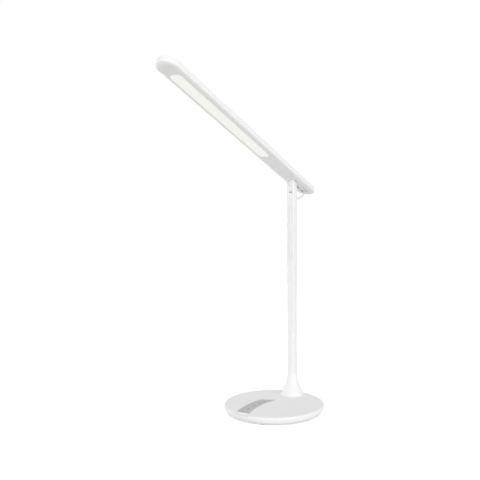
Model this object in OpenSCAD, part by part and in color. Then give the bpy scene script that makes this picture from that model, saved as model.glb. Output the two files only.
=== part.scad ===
// Folding LED desk lamp.
// The origin is at the centre of the round base, on the table. +Z is up and the lamp
// faces -Y. The head is drawn flat about its hinge axis and tilted to its working pose.

/* [Base] */
// Diameter of the base at its widest
base_d = 180; // [160:1:220]
// Height of the base's top face above the table
base_h = 14; // [14:0.5:18]
// How far the lower edge of the side wall draws in, on the radius
base_draw_in = 6; // [4:0.5:8]
// Radius of the round edge between the top and the side
base_edge_r = 2.6; // [1.5:0.1:3]
// Wall of the base's two shells
base_wall = 2.2; // [1.8:0.1:2.4]
// How far the rubber feet stand out below the tray
foot_out = 1.4; // [0.8:0.1:2]
// Diameter of one rubber foot
foot_d = 12; // [8:0.5:14]
// Number of rubber feet
foot_count = 6; // [3:1:8]
// Angle of the first rubber foot about the base's centre
foot_first_angle = -73; // [-90:1:0]
// Distance from the base's widest edge to the steel ballast disc
ballast_edge = 12; // [11.5:0.5:25]
// Thickness of the steel ballast disc
ballast_t = 4.5; // [3:0.5:5]
// Distance from the base's widest edge to the cover's screw bosses
base_boss_edge = 28; // [24:1:34]
// Direction of the power inlet, seen from above
inlet_angle = 125; // [122:1:128]

/* [Touch strip] */
// Radius of the strip's outer curved edge
strip_outer_r = 180; // [150:1:250]
// Width of the curved strip
strip_w = 24; // [16:0.5:30]
// Centre of the strip's curves, across the base
strip_centre_x = 145; // [140:1:150]
// Centre of the strip's curves, along the base
strip_centre_y = -24; // [-34:1:-14]
// Distance from the base's front to the strip's front edge
strip_edge = 11; // [9:0.5:20]
// Depth of the channel that the strip lies in
strip_recess = 1.2; // [0.8:0.1:1.4]
// Thickness of the strip
strip_t = 0.8; // [0.5:0.1:1.2]

/* [Stem] */
// Width of the stem, across the lamp
stem_w = 14.6; // [13.6:0.1:18]
// Depth of the stem, front to back
stem_d = 14.2; // [13.8:0.1:18]
// Distance from the middle of the stem to the base's rear edge
stem_edge = 24; // [22:1:32]
// Height of the hinge axis above the table
hinge_h = 406.5; // [400:1:440]
// Wall of the stem's covers
stem_wall = 1.6; // [1.2:0.1:1.8]
// Corner radius of the stem above the night light
stem_corner_r = 1.2; // [0.6:0.1:1.6]
// Front corner radius of the stem below the night light
lower_corner_r = 3.5; // [2:0.1:4]
// Depth of the stem's front covers, from the front face
front_cover_d = 8.8; // [7:0.1:10]
// Height of the foot's flare above the base
flare_h = 58; // [50:1:60]
// Radius of the flare where it meets the base
flare_foot_r = 24; // [22:0.5:26]

/* [Night light] */
// Length of the night light
glow_len = 162.5; // [120:0.5:170]
// Distance from the hinge axis down to the night light's upper edge
glow_down = 109.5; // [90:0.5:120]
// Width of the trim strip on the stem's front
trim_w = 5.4; // [4:0.1:7]
// Length of the trim strip
trim_len = 98; // [80:0.5:110]
// Distance from the hinge axis down to the trim strip's upper end
trim_down = 32.5; // [32:0.5:40]
// Thickness of the trim strip
trim_t = 0.8; // [0.5:0.1:1]
// Number of light chips on the night light's board
glow_chips = 12; // [6:1:16]

/* [Hinge] */
// Width of the slot between the stem's two ears
slot_w = 8.6; // [7.6:0.1:9]
// Radius of the round lower end of the head's lug
lug_r = 6.8; // [6:0.1:7]
// Thickness of each friction washer
washer_t = 0.3; // [0.2:0.05:0.6]
// Diameter of the hinge pin
pin_d = 5; // [4:0.1:6]
// Diameter of the round covers over the pin's ends
pin_cover_d = 8; // [7:0.1:9]
// Thickness of the round covers over the pin's ends
pin_cover_t = 0.6; // [0.4:0.1:1]
// Radial clearance of the lug on the pin
pin_clearance = 0.05; // [0.02:0.01:0.1]
// Upward tilt of the head in its working pose
head_tilt = 18.6; // [0:0.1:30]

/* [Head] */
// Width of the head
head_w = 36; // [34:0.5:44]
// Length of the head in front of the hinge axis
head_front = 391; // [380:1:391]
// Length of the head behind the hinge axis
head_rear = 67; // [64:1:80]
// Distance from the hinge axis to the flat underside
head_rise = 16.3; // [16:0.1:20]
// How far the rounded underside rises from its flat to the side band
belly_rise = 2.2; // [1.5:0.1:3]
// Height of the side band of the lower shell
band_h = 6.5; // [6:0.1:9]
// Height of the top cover's rim
cover_rim_h = 2.8; // [2.5:0.1:4]
// Radius of the top cover's round edge
cover_edge_r = 1.6; // [1:0.1:2.4]
// Wall of the head's two shells
head_wall = 1.8; // [1.5:0.1:2]
// Width of the groove under the head's rear, for the lug and the cable
groove_w = 13; // [11:0.5:16]
// Depth of that groove
groove_depth = 1.8; // [1:0.1:2]
// Width of the diffuser's visible face
diffuser_w = 20.4; // [16:0.2:21]
// Distance from the hinge axis to the diffuser's near end
diffuser_near = 106; // [90:1:130]
// Distance from the hinge axis to the diffuser's far end
diffuser_far = 361; // [330:1:362]
// Corner radius of the diffuser
diffuser_corner_r = 7; // [2:0.5:9]
// Thickness of the diffuser's hidden flange
diffuser_flange_t = 1; // [0.8:0.1:1.2]
// Thickness of the light guide plate
guide_t = 2.5; // [2:0.1:2.6]
// Thickness of the reflector sheet
reflector_t = 0.4; // [0.3:0.1:0.6]
// Thickness of the aluminium heat plate
heat_plate_t = 1.2; // [0.8:0.1:1.4]

/* [Cable] */
// Diameter of the short cable behind the hinge
cable_d = 2.6; // [2:0.1:2.6]
// Distance from the hinge axis down to the cable's exit at the back of the stem
cable_exit_down = 15; // [14.9:0.1:15.1]
// Distance from the hinge axis back to the cable's entry in the head
cable_entry = 49; // [48.9:0.1:49.1]

/* [Hidden] */

$fn = 64;
gap = 0.1;         // fitting gap between a part and its seat
through = 1;       // how far a cut runs past the face it opens
white = "#f4f4f4";
grey = "#b5b5b5";
dark = "#8a8a8a";
steel = "#a9adb0";
board = "#3f7d5a";
cream = "#f6f3e4";

// Base heights and radii
base_r = base_d / 2;
tray_low = foot_out;
parting_z = base_h - base_edge_r;            // widest line, where tray and cover meet
side_h = parting_z - tray_low;
side_curve_r = (pow(base_draw_in, 2) + pow(side_h, 2)) / (2 * base_draw_in);
tray_floor = tray_low + base_wall;
cover_under = base_h - base_wall;
tray_foot_r = base_r - base_draw_in;
foot_ring_r = tray_foot_r - foot_d / 2 - 0.6;
foot_recess = 0.8;
base_boss_d = 8;
base_boss_r = base_r - base_boss_edge;
ballast_r = base_r - ballast_edge;
base_screw_d = 3;
base_screw_head_d = 5.6;
base_screw_head_h = 1.2;
skirt_r = base_r - base_wall - 0.3;          // locating skirt of the cover
skirt_t = 1.6;
skirt_h = 1.6;

// Channel of the touch strip
strip_inner_r = strip_outer_r - strip_w;
strip_front = base_r - strip_edge;
strip_back_angle = 29;                       // slant of the strip's back end
strip_back_y = 22.2;                         // where that slanted end crosses the middle
channel_z = base_h - strip_recess;
lip_slope = 6.5;                             // slope of the channel's front lip
lip_pad = 1.6;                               // extra wall under that lip
touch_board_t = 1;

// Control board and inlet, on a radius towards the back left
board_w = 40;
board_in = 42;
board_out = base_r - 10;
board_t = 1;
board_post_h = 0.6;
inlet_w = 7;
inlet_bore_d = 3.6;
inlet_pin_d = 1.3;
inlet_depth = 8;
inlet_len = 10;
board_z = tray_floor + board_post_h + board_t;
inlet_h = cover_under - board_z - 0.4;
inlet_face_r = base_r - 1.4;

// Stem sections, in height
stem_y = base_r - stem_edge;
stem_front_y = stem_y - stem_d / 2;
stem_rear_y = stem_y + stem_d / 2;
flare_top = base_h + flare_h;
foot_fillet_w = 2.4;                         // small fillet where the flare meets the base
foot_fillet_h = 2;
slot_clear = 0.7;                            // below the lug
slot_floor = hinge_h - lug_r - slot_clear;
block_low = slot_floor - 11;
spigot_h = 12;
glow_high = hinge_h - glow_down;
glow_low = glow_high - glow_len;
trim_high = hinge_h - trim_down;
trim_low = trim_high - trim_len;
shadow_gap = 0.4;                            // open line round the trim strip
tongue_w = trim_w + 5.2;                     // tongue of the upper cover round the strip
tongue_low = trim_low - 5;
tongue_r = 1.2;
cable_exit_h = hinge_h - cable_exit_down;
ear_r = stem_d;                              // quarter-round top of the ears
ear_z = hinge_h - 1.6;                       // where the ears start to round
core_w = 8;
core_d = 6;
core_wall = 1;
core_back = 1;                               // core behind the stem's middle
core_y = stem_y + core_back;
core_flange_d = 34;
core_flange_t = 2.5;
core_low = cover_under - core_flange_t;
core_stop = 2;                               // solid end of the block over the core
core_high = block_low - core_stop;
rib_h = 3;
stem_screw_d = 4;
stem_screw_ring = 13;
stem_screw_head_d = 6.6;
stem_screw_head_h = 0.9;
glow_board_t = 1;
glow_board_w = 9;
chip_w = 2.8;
chip_h = 3.5;
chip_t = 0.8;

// Hinge
lug_w = slot_w - 2 * washer_t;
pin_hole_gap = 0.02;
neck_w = 2 * lug_r;
neck_relief = 1.3;                           // slit in the shell in front of the neck
lug_flange_w = 22;
lug_flange_l = 30;
lug_flange_t = 2.4;
lug_screw_d = 2.5;
lug_screw_grip = 1.3;
lug_screw_inset = 3.4;
small_head_d = 4.6;                          // heads of the small screws in the head
small_head_h = 1.4;

// Head levels, measured from the hinge axis
half_w = head_w / 2;
band_low = head_rise + belly_rise;
split_z = band_low + band_h;
head_top = split_z + cover_rim_h;
belly_flat = diffuser_w / 2 + 0.5;
belly_curve_r = (pow(half_w - belly_flat, 2) + pow(belly_rise, 2)) / (2 * belly_rise);
floor_z = head_rise + head_wall;
floor_half = diffuser_w / 2 + 1.4;
groove_z = head_rise + groove_depth;
groove_front = 9;                            // groove in front of the hinge axis
lug_seat_z = groove_z + head_wall;           // inner face of the wall over the groove
inner_half = half_w - head_wall;
guide_z = floor_z + diffuser_flange_t;
reflector_z = guide_z + guide_t;
plate_z = reflector_z + reflector_t;
plate_top = plate_z + heat_plate_t;
guide_w = diffuser_w + 1.8;
led_t = 1;
led_h = guide_t - 0.2;
plate_flange_t = 1;
plate_w = guide_w + 2 * (led_t + plate_flange_t + gap);
end_margin = 3;                              // light guide past the diffuser's ends
plate_margin = 13;                           // heat plate past the diffuser's ends
boss_margin = 8;                             // heat plate screws past the diffuser's ends
plate_boss_d = 5;
plate_screw_d = 2.5;
plate_screw_grip = 2;
plate_screw_x = 8;
cover_inner = head_top - head_wall;
grommet_d = 5;
grommet_flange_d = 7;
grommet_flange_t = 0.8;
cable_gap = 0.15;                            // clearance of the cable in its grommets

// Route of the short cable behind the hinge, seen from the side: distance behind the
// hinge axis and height above it
cable_route = [[4.7, -15], [7.1, -15], [10, -15.1], [14, -15.4], [18, -15.7],
               [22, -15.6], [26, -15.1], [30, -14.2], [34, -13], [38, -11.5],
               [42, -9.6], [45.4, -7.5], [48, -5.3], [49.9, -3.6], [51, -2.1],
               [52.5, 2.3]];
cable_sides = 8;

// Points of an arc about c, from angle a0 to a1
function arc(c, r, a0, a1, n) =
    [for (i = [0:n]) [c[0] + r * cos(a0 + (a1 - a0) * i / n),
                      c[1] + r * sin(a0 + (a1 - a0) * i / n)]];

// The same outline, mirrored and in reverse order
function mirrored(p) = [for (i = [len(p) - 1:-1:0]) [-p[i][0], p[i][1]]];

// ---------------------------------------------------------------- base

// Curved side of the tray, from the lower edge to the widest line
function side_curve(inset) = let (a = asin(side_h / side_curve_r))
    arc([base_r - side_curve_r, parting_z], side_curve_r - inset, -a, 0, 10);

module tray_profile() {
    outer = side_curve(0);
    inner = side_curve(base_wall);
    polygon(concat([[0, tray_low]], outer, [[base_r - base_wall, parting_z]],
        [for (i = [len(inner) - 1:-1:0]) if (inner[i][1] > tray_floor + 0.3) inner[i]],
        [[tray_foot_r - base_wall, tray_floor], [0, tray_floor]]));
}

// Places a child at each rubber foot
module at_feet() {
    for (i = [0:foot_count - 1])
        rotate([0, 0, foot_first_angle + i * 360 / foot_count])
            translate([foot_ring_r, 0, 0])
                children();
}

// Places a child at each of the cover's screw bosses, which leave room for the inlet
module at_base_bosses() {
    for (i = [1:5])
        rotate([0, 0, inlet_angle + i * 60])
            translate([base_boss_r, 0, 0])
                children();
}

module at_inlet() {
    rotate([0, 0, inlet_angle])
        children();
}

module rubber_feet() {
    color("#9a9a9a")
    at_feet()
        rotate_extrude()
            polygon([[0, 0], [foot_d / 2 - 0.6, 0], [foot_d / 2, 0.6],
                     [foot_d / 2, foot_out + foot_recess], [0, foot_out + foot_recess]]);
}

module base_tray() {
    color(white)
    difference() {
        union() {
            rotate_extrude($fn = 128)
                tray_profile();
            at_inlet()
                for (r = [board_in + 4, board_out - 14], s = [-1, 1])
                    translate([r, s * (board_w / 2 - 4), tray_floor - 0.5])
                        cylinder(d = 5, h = board_post_h + 0.5);
        }
        at_feet()
            translate([0, 0, tray_low - through])
                cylinder(d = foot_d, h = foot_recess + through);
        at_base_bosses() {
            translate([0, 0, tray_low - through])
                cylinder(d = base_screw_d + 0.4, h = base_wall + 2 * through);
            translate([0, 0, tray_low - through])
                cylinder(d = base_screw_head_d + 0.4, h = base_screw_head_h + through);
        }
        at_inlet()
            translate([inlet_face_r - inlet_len, -inlet_w / 2 - gap, board_z - gap])
                cube([inlet_len + 5, inlet_w + 2 * gap, inlet_h + 2 * gap]);
    }
}

module ballast_disc() {
    color(steel)
    translate([0, 0, tray_floor])
        difference() {
            cylinder(r = ballast_r, h = ballast_t, $fn = 128);
            translate([0, stem_y, -through])
                cylinder(d = core_flange_d + 6, h = ballast_t + 2 * through);
            at_base_bosses()
                translate([0, 0, -through])
                    cylinder(d = base_boss_d + 1.5, h = ballast_t + 2 * through);
            // room for the control board, open towards the stem and the rim
            at_inlet()
                translate([board_in - 2, -board_w / 2 - 22, -through])
                    cube([board_out, board_w + 24, ballast_t + 2 * through]);
        }
}

// Plan of the curved channel: a band between two arcs, cut by the slanted back end
module strip_plan(inset, front) {
    intersection() {
        translate([strip_centre_x, strip_centre_y])
            difference() {
                circle(r = strip_outer_r - inset, $fn = 256);
                circle(r = strip_inner_r + inset, $fn = 256);
            }
        polygon([[-60, -front], [10, -front],
                 [10, strip_back_y - inset + 10 * tan(strip_back_angle)],
                 [-60, strip_back_y - inset - 60 * tan(strip_back_angle)]]);
    }
}

module cover_profile() {
    polygon(concat([[0, cover_under], [skirt_r - skirt_t, cover_under],
                    [skirt_r - skirt_t, parting_z - skirt_h],
                    [skirt_r, parting_z - skirt_h], [skirt_r, parting_z]],
                   arc([base_r - base_edge_r, parting_z], base_edge_r, 0, 90, 6),
                   [[0, base_h]]));
}

// Everything above the channel's floor, which slopes down to the rim in front
module above_channel_floor() {
    far = base_r + 10;
    translate([-base_r, 0, 0])
        rotate([90, 0, 90])
            linear_extrude(2 * base_r)
                polygon([[-far, channel_z - (far - strip_front) * tan(lip_slope)],
                         [-strip_front, channel_z], [base_r, channel_z],
                         [base_r, base_h + through], [-far, base_h + through]]);
}

module base_cover() {
    color(white)
    difference() {
        union() {
            rotate_extrude($fn = 128)
                cover_profile();
            at_base_bosses()
                translate([0, 0, tray_floor])
                    cylinder(d = base_boss_d, h = cover_under - tray_floor + 0.5);
            // thicker wall under the channel's lip
            translate([0, 0, cover_under - lip_pad])
                linear_extrude(lip_pad + 0.5)
                    difference() {
                        intersection() {
                            strip_plan(-2, base_r);
                            circle(r = skirt_r - skirt_t + 0.5);
                        }
                        translate([-base_r, -strip_front + 4])
                            square(2 * base_r);
                    }
        }
        // channel of the touch strip, running out through the rim
        intersection() {
            translate([0, 0, cover_under - lip_pad])
                linear_extrude(base_h + through - cover_under + lip_pad)
                    strip_plan(0, base_r + 5);
            above_channel_floor();
        }
        at_base_bosses()
            translate([0, 0, tray_floor - through])
                cylinder(d = base_screw_d + 2 * pin_hole_gap, h = 7 + through);
        translate([0, stem_y, cover_under - through]) {
            translate([-core_w / 2 - gap, core_y - stem_y - core_d / 2 - gap, 0])
                cube([core_w + 2 * gap, core_d + 2 * gap, base_wall + 2 * through]);
            for (a = [30, 150, 270])
                rotate([0, 0, a])
                    translate([stem_screw_ring, 0, 0])
                        cylinder(d = stem_screw_d + 0.4, h = base_wall + 2 * through);
        }
        // notch in the cover's skirt, over the inlet
        at_inlet()
            translate([base_r - 8, -inlet_w / 2 - 2, parting_z - 2.6])
                cube([6.4, inlet_w + 4, 2.6]);
    }
}

module base_screws() {
    color(steel)
    at_base_bosses()
        translate([0, 0, tray_low]) {
            cylinder(d = base_screw_head_d, h = base_screw_head_h);
            cylinder(d = base_screw_d, h = base_wall + 6);
        }
}

module control_board() {
    color(board)
    at_inlet()
        translate([0, 0, board_z - board_t]) {
            translate([board_in, -board_w / 2, 0])
                cube([board_out - board_in, board_w, board_t]);
            translate([board_in + 10, -6, board_t])
                cube([7, 7, 1.2]);
            translate([board_in + 22, 8, board_t])
                cube([6, 6, 2.6]);
            for (s = [-1, 0, 1])
                translate([board_in + 8, -13 + s * 3.2, board_t])
                    cube([3.2, 1.6, 1]);
        }
}

module dc_inlet() {
    color("#303030")
    at_inlet()
        translate([inlet_face_r - inlet_len, 0, board_z])
            difference() {
                translate([0, -inlet_w / 2, 0])
                    cube([inlet_len, inlet_w, inlet_h]);
                translate([inlet_len - inlet_depth, 0, inlet_h / 2])
                    rotate([0, 90, 0])
                        difference() {
                            cylinder(d = inlet_bore_d, h = inlet_depth + through);
                            translate([0, 0, -through])
                                cylinder(d = inlet_pin_d, h = inlet_depth);
                        }
            }
}

module touch_strip() {
    color(grey)
    translate([0, 0, channel_z])
        linear_extrude(strip_t)
            strip_plan(gap, strip_front);
}

module touch_board() {
    color(board)
    difference() {
        translate([0, 0, cover_under - touch_board_t])
            linear_extrude(touch_board_t)
                strip_plan(4, strip_front - 6);
        // notch round the screw boss beside it
        at_base_bosses()
            translate([0, 0, tray_floor])
                cylinder(d = base_boss_d + 1, h = cover_under);
    }
}

// ---------------------------------------------------------------- stem

// Plan of the stem, with its own corner radius at the front and the back
module stem_plan(front_r, back_r, inset = 0) {
    w = stem_w / 2 - inset;
    d = stem_d / 2 - inset;
    f = max(front_r - inset, 0.3);
    b = max(back_r - inset, 0.3);
    translate([0, stem_y])
        polygon(concat(arc([w - f, -d + f], f, -90, 0, 6), arc([w - b, d - b], b, 0, 90, 6),
                       arc([-w + b, d - b], b, 90, 180, 6),
                       arc([-w + f, -d + f], f, 180, 270, 6)));
}

// Wall of the stem between two heights, closed in plan
module stem_tube(low, high, front_r) {
    translate([0, 0, low])
        linear_extrude(high - low)
            difference() {
                stem_plan(front_r, stem_corner_r);
                stem_plan(front_r, stem_corner_r, stem_wall);
            }
}

// Everything in front of the line between the front and back covers
module front_half(low, high) {
    translate([-stem_w, stem_front_y - stem_d, low])
        cube([2 * stem_w, stem_d + front_cover_d, high - low]);
}

// Curved profile of the flare: one arc from the foot that ends upright in the stem's sides
function flare_curve() =
    let (top_r = min(stem_w, stem_d) / 2 - 0.1,
         dz = flare_top - base_h - foot_fillet_h,
         dr = flare_foot_r - foot_fillet_w - top_r,
         r = (dz * dz + dr * dr) / (2 * dr))
    arc([top_r + r, flare_top], r, 180 + asin(dz / r), 180, 12);

module stem_foot() {
    curve = flare_curve();
    color(white)
    difference() {
        union() {
            rotate_extrude_at_stem()
                polygon(concat([[0, base_h], [flare_foot_r, base_h],
                                [flare_foot_r - 0.5 * foot_fillet_w,
                                 base_h + 0.25 * foot_fillet_h],
                                [flare_foot_r - 0.8 * foot_fillet_w,
                                 base_h + 0.55 * foot_fillet_h]],
                               curve, [[0, flare_top]]));
            translate([0, 0, base_h + 4])
                linear_extrude(flare_top - base_h - 4)
                    stem_plan(lower_corner_r, stem_corner_r);
        }
        translate([-core_w / 2 - gap, core_y - core_d / 2 - gap, base_h - through])
            cube([core_w + 2 * gap, core_d + 2 * gap, flare_h + 2 * through]);
        for (a = [30, 150, 270])
            translate([0, stem_y, base_h - through])
                rotate([0, 0, a])
                    translate([stem_screw_ring, 0, 0])
                        cylinder(d = stem_screw_d + 2 * pin_hole_gap, h = 8 + through);
    }
}

module rotate_extrude_at_stem() {
    translate([0, stem_y, 0])
        rotate_extrude($fn = 96)
            children();
}

module stem_core() {
    color(steel)
    difference() {
        union() {
            translate([0, stem_y, core_low])
                cylinder(d = core_flange_d, h = core_flange_t);
            translate([-core_w / 2, core_y - core_d / 2, core_low])
                cube([core_w, core_d, core_high - core_low]);
        }
        translate([-core_w / 2 + core_wall, core_y - core_d / 2 + core_wall,
                   core_low - through])
            cube([core_w - 2 * core_wall, core_d - 2 * core_wall,
                  core_high - core_low + 2 * through]);
        for (a = [30, 150, 270])
            translate([0, stem_y, core_low - through])
                rotate([0, 0, a])
                    translate([stem_screw_ring, 0, 0])
                        cylinder(d = stem_screw_d + 0.4, h = core_flange_t + 2 * through);
    }
}

module stem_screws() {
    color(steel)
    translate([0, stem_y, core_low - stem_screw_head_h])
        for (a = [30, 150, 270])
            rotate([0, 0, a])
                translate([stem_screw_ring, 0, 0]) {
                    cylinder(d = stem_screw_head_d, h = stem_screw_head_h);
                    cylinder(d = stem_screw_d,
                             h = stem_screw_head_h + core_flange_t + base_wall + 7);
                }
}

module stem_back_cover() {
    color(white)
    union() {
        difference() {
            stem_tube(flare_top, block_low, stem_corner_r);
            front_half(flare_top - through, block_low + through);
        }
        // ribs that rest on the core
        for (z = [flare_top + 20:80:block_low - 20])
            translate([-stem_w / 2 + stem_wall / 2, core_y + core_d / 2, z])
                cube([stem_w - stem_wall,
                      stem_rear_y - stem_wall / 2 - core_y - core_d / 2, rib_h]);
    }
}

// Two ribs inside a front cover that rest on the core, beside the light board
module front_ribs(z) {
    for (s = [-1, 1])
        translate([s * (core_w / 2 - 0.6) - 0.6, stem_front_y + stem_wall / 2, z])
            cube([1.2, core_y - core_d / 2 - stem_front_y - stem_wall / 2, rib_h]);
}

module stem_lower_cover() {
    color(white)
    union() {
        intersection() {
            stem_tube(flare_top, glow_low, lower_corner_r);
            front_half(flare_top, glow_low);
        }
        front_ribs(flare_top + 10);
        front_ribs(glow_low - 14);
    }
}

// Space of the trim strip, with its round ends
module trim_space(side_gap, back_gap) {
    translate([0, stem_front_y + trim_t + back_gap, 0])
        rotate([90, 0, 0])
            linear_extrude(trim_t + back_gap + through) {
                translate([-trim_w / 2 - side_gap, trim_low + trim_w / 2])
                    square([trim_w + 2 * side_gap, trim_high - trim_low - trim_w]);
                for (z = [trim_low, trim_high - trim_w])
                    translate([0, z + trim_w / 2])
                        circle(r = trim_w / 2 + side_gap);
            }
}

// Space of the upper cover's tongue, which reaches down over the night light
module tongue_space(grow) {
    translate([0, stem_front_y + stem_wall + through, 0])
        rotate([90, 0, 0])
            linear_extrude(stem_wall + 2 * through) {
                translate([-tongue_w / 2 - grow, tongue_low + tongue_r])
                    square([tongue_w + 2 * grow, glow_high + 1 - tongue_low - tongue_r]);
                translate([-tongue_w / 2 + tongue_r, tongue_low - grow])
                    square([tongue_w - 2 * tongue_r, tongue_r + grow + 1]);
                for (s = [-1, 1])
                    translate([s * (tongue_w / 2 - tongue_r), tongue_low + tongue_r])
                        circle(r = tongue_r + grow);
            }
}

module stem_trim() {
    color(white)
    intersection() {
        trim_space(0, 0);
        translate([-trim_w, stem_front_y + 0.15, trim_low - through])
            cube([2 * trim_w, trim_t, trim_high - trim_low + 2 * through]);
    }
}

module stem_upper_cover() {
    color(white)
    difference() {
        union() {
            intersection() {
                stem_tube(glow_high, block_low, stem_corner_r);
                front_half(glow_high, block_low);
            }
            intersection() {
                stem_tube(tongue_low, glow_high + 1, stem_corner_r);
                tongue_space(0);
            }
            front_ribs(glow_high + 12);
            front_ribs(block_low - 16);
        }
        trim_space(shadow_gap, gap);
    }
}

module night_light_cover() {
    color(cream)
    difference() {
        intersection() {
            stem_tube(glow_low, glow_high, stem_corner_r);
            front_half(glow_low, glow_high);
        }
        tongue_space(gap);
    }
}

module night_light_board() {
    pitch = (glow_high - glow_low - 20) / (glow_chips - 1);
    color(board)
    translate([0, core_y - core_d / 2, 0]) {
        translate([-glow_board_w / 2, -glow_board_t, glow_low + 4])
            cube([glow_board_w, glow_board_t, glow_high - glow_low - 8]);
        for (i = [0:glow_chips - 1])
            translate([-chip_w / 2, -glow_board_t - chip_t,
                       glow_low + 10 + i * pitch - chip_h / 2])
                cube([chip_w, chip_t, chip_h]);
    }
}

// Side outline of the hinge block: a square foot with a quarter-round top
module ear_outline() {
    translate([stem_front_y, block_low])
        square([stem_d, ear_z - block_low]);
    intersection() {
        translate([stem_front_y, ear_z])
            circle(r = ear_r, $fn = 128);
        translate([stem_front_y, ear_z])
            square([ear_r, ear_r]);
    }
}

module stem_hinge_block() {
    corner = 1;
    color(white)
    difference() {
        union() {
            intersection() {
                translate([0, 0, block_low])
                    linear_extrude(ear_z + ear_r - block_low)
                        stem_plan(stem_corner_r, stem_corner_r);
                translate([-stem_w, 0, 0])
                    rotate([90, 0, 90])
                        linear_extrude(2 * stem_w)
                            ear_outline();
            }
            translate([0, 0, block_low - spigot_h])
                linear_extrude(spigot_h)
                    stem_plan(stem_corner_r, stem_corner_r, stem_wall + gap);
        }
        // slot between the ears, with round lower corners
        translate([0, stem_rear_y + through, 0])
            rotate([90, 0, 0])
                linear_extrude(stem_d + 2 * through) {
                    translate([-slot_w / 2, slot_floor + corner])
                        square([slot_w, ear_r + 30]);
                    translate([-slot_w / 2 + corner, slot_floor])
                        square([slot_w - 2 * corner, corner]);
                    for (s = [-1, 1])
                        translate([s * (slot_w / 2 - corner), slot_floor + corner])
                            circle(r = corner);
                }
        // bore of the pin and the seats of its round covers
        translate([-stem_w / 2 - through, stem_y, hinge_h])
            rotate([0, 90, 0])
                cylinder(d = pin_d + 2 * pin_hole_gap, h = stem_w + 2 * through);
        for (s = [0, 1])
            mirror([s, 0, 0])
                translate([stem_w / 2 - pin_cover_t, stem_y, hinge_h])
                    rotate([0, 90, 0])
                        cylinder(d = pin_cover_d, h = pin_cover_t + through);
        // seat of the core and the cable's way to the back
        translate([-core_w / 2 - gap, core_y - core_d / 2 - gap,
                   block_low - spigot_h - through])
            cube([core_w + 2 * gap, core_d + 2 * gap,
                  spigot_h - core_stop + through + gap]);
        translate([0, core_y, block_low - spigot_h])
            cylinder(d = 4, h = cable_exit_h - block_low + spigot_h);
        translate([0, core_y, cable_exit_h])
            rotate([-90, 0, 0])
                cylinder(d = grommet_d, h = stem_d);
    }
}

// ---------------------------------------------------------------- hinge

module hinge_pin() {
    len = stem_w - 2 * pin_cover_t;
    color(steel)
    translate([-len / 2, stem_y, hinge_h])
        rotate([0, 90, 0])
            cylinder(d = pin_d, h = len);
}

module hinge_pin_covers() {
    color(white)
    for (s = [0, 1])
        mirror([s, 0, 0])
            translate([stem_w / 2 - pin_cover_t, stem_y, hinge_h])
                rotate([0, 90, 0])
                    cylinder(d = pin_cover_d - 2 * pin_hole_gap, h = pin_cover_t);
}

module hinge_washers() {
    color(steel)
    for (s = [0, 1])
        mirror([s, 0, 0])
            translate([slot_w / 2 - washer_t, stem_y, hinge_h])
                rotate([0, 90, 0])
                    difference() {
                        cylinder(r = lug_r - 0.8, h = washer_t);
                        translate([0, 0, -through])
                            cylinder(d = pin_d + 2 * pin_clearance,
                                     h = washer_t + 2 * through);
                    }
}

// Places the head's own drawing, flat about the hinge axis, in its working pose
module at_head() {
    translate([0, stem_y, hinge_h])
        rotate([-head_tilt, 0, 0])
            children();
}

module hinge_lug() {
    color(white)
    at_head()
        difference() {
            union() {
                translate([-lug_w / 2, 0, 0])
                    rotate([0, 90, 0])
                        cylinder(r = lug_r, h = lug_w);
                translate([-lug_w / 2, -neck_w / 2, 0])
                    cube([lug_w, neck_w, lug_seat_z]);
                translate([-lug_flange_w / 2, -lug_flange_l / 2, lug_seat_z])
                    cube([lug_flange_w, lug_flange_l, lug_flange_t]);
            }
            translate([-lug_w / 2 - through, 0, 0])
                rotate([0, 90, 0])
                    cylinder(d = pin_d + 2 * pin_clearance, h = lug_w + 2 * through);
            at_lug_screws()
                translate([0, 0, lug_seat_z - through])
                    cylinder(d = lug_screw_d + 2 * pin_hole_gap,
                             h = lug_flange_t + 2 * through);
        }
}

module at_lug_screws() {
    for (x = [-1, 1], y = [-1, 1])
        translate([x * (lug_flange_w / 2 - lug_screw_inset),
                   y * (lug_flange_l / 2 - lug_screw_inset), 0])
            children();
}

module lug_screws() {
    color(steel)
    at_head()
        at_lug_screws() {
            translate([0, 0, lug_seat_z - lug_screw_grip])
                cylinder(d = lug_screw_d, h = lug_flange_t + lug_screw_grip);
            translate([0, 0, lug_seat_z + lug_flange_t])
                cylinder(d = small_head_d, h = small_head_h);
        }
}

// ---------------------------------------------------------------- cable

module grommet() {
    difference() {
        union() {
            cylinder(d = grommet_flange_d, h = grommet_flange_t);
            translate([0, 0, -2])
                cylinder(d = grommet_d - 2 * pin_hole_gap, h = 2.5);
        }
        translate([0, 0, -3])
            cylinder(d = cable_d + 2 * cable_gap, h = 5);
    }
}

module stem_cable_grommet() {
    color(dark)
    translate([0, stem_rear_y, cable_exit_h])
        rotate([-90, 0, 0])
            grommet();
}

module head_cable_grommet() {
    color(dark)
    at_head()
        translate([0, cable_entry, groove_z])
            rotate([180, 0, 0])
                grommet();
}

// Direction of the route at each of its points
function route_dir(p, i) =
    let (d = p[min(i + 1, len(p) - 1)] - p[max(i - 1, 0)])
    d / norm(d);

module hinge_cable() {
    n = cable_sides;
    k = len(cable_route);
    rings = [for (i = [0:k - 1], j = [0:n - 1])
        let (d = route_dir(cable_route, i), a = 360 * j / n)
        [cable_d / 2 * cos(a),
         stem_y + cable_route[i][0] - d[1] * cable_d / 2 * sin(a),
         hinge_h + cable_route[i][1] + d[0] * cable_d / 2 * sin(a)]];
    sides = [for (i = [0:k - 2], j = [0:n - 1])
        let (a = i * n + j, b = i * n + (j + 1) % n)
        each [[a, b, b + n], [a, b + n, a + n]]];
    color("#ededed")
    polyhedron(points = rings,
               faces = concat([[for (j = [n - 1:-1:0]) j]], sides,
                              [[for (j = [0:n - 1]) (k - 1) * n + j]]));
}

// ---------------------------------------------------------------- head

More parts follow.
